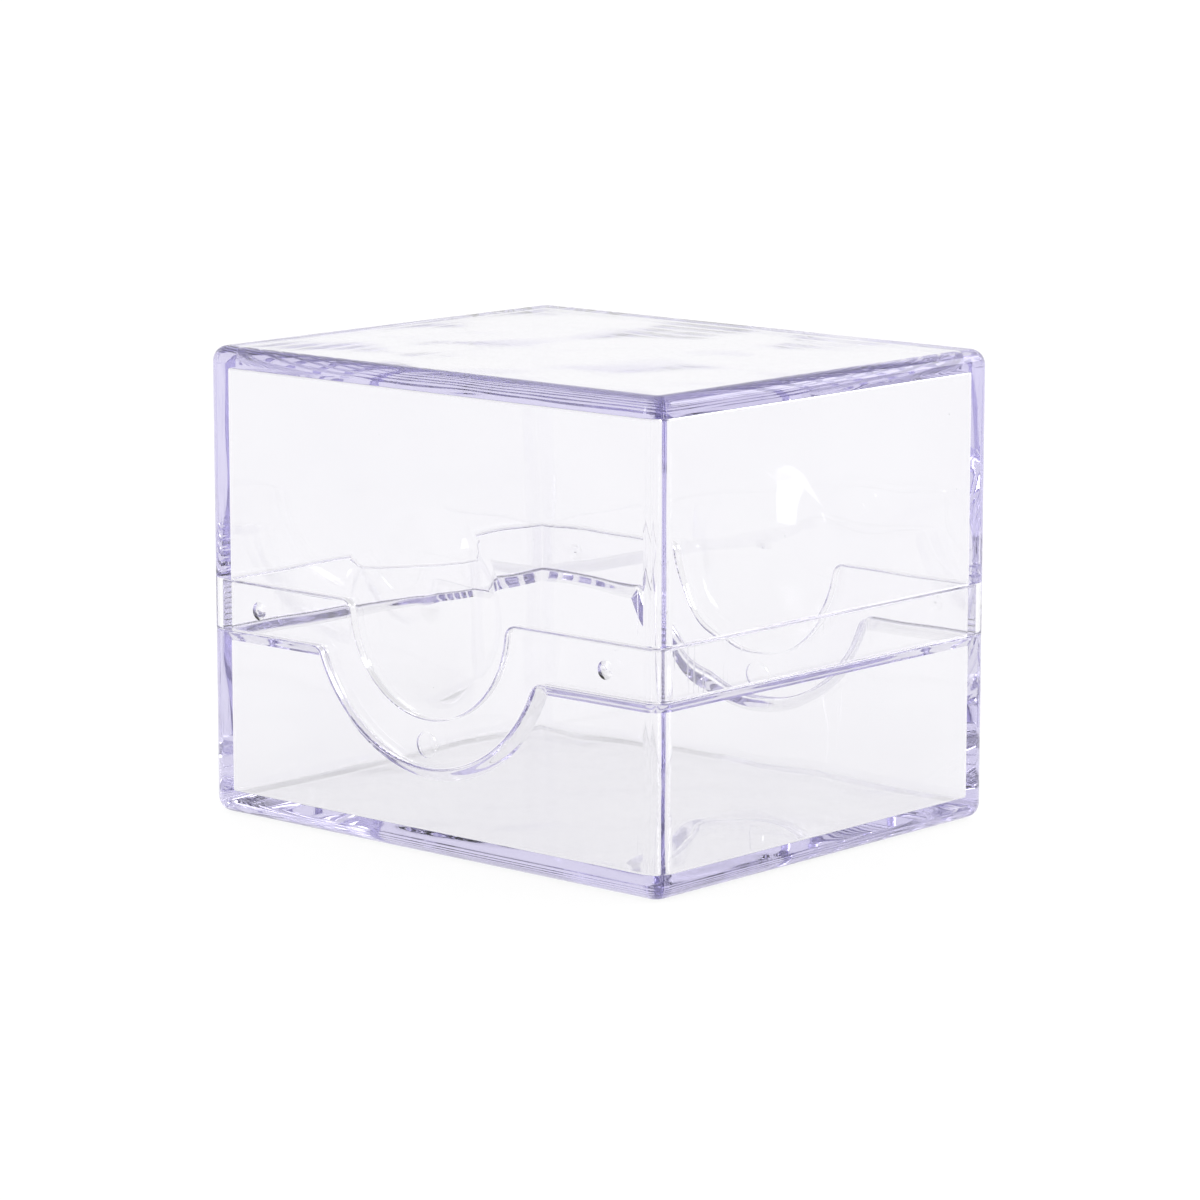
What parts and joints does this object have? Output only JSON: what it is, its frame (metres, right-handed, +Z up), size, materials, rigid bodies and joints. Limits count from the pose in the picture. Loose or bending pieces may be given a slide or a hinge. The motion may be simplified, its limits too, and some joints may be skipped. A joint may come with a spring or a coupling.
{
  "type": "trading card deck case",
  "caption": "Clear rectangular card case: a base tray with a raised neck ring and a lift-off lid whose tongues and plugs close the finger scoops.",
  "frame": {"origin": "centre of the underside", "axes": "+X across the wide walls, +Y from the front wide wall to the back one, +Z up, the way the lid lifts off"},
  "size_m": [0.099, 0.0826, 0.078],
  "materials": {
    "clear_tray": "clear, faintly lavender polystyrene, polished",
    "clear_lid": "clear, faintly lavender polystyrene, polished"
  },
  "bodies": {
    "tray": {"base_tray": "clear_tray", "neck_ring": "clear_tray"},
    "cover": {"lid": "clear_lid"}
  },
  "joints": [
    {"name": "lid_lift", "type": "slide", "parent": "tray", "child": "cover", "axis": [0, 0, 1], "range_m": [0, 0.05]}
  ]
}
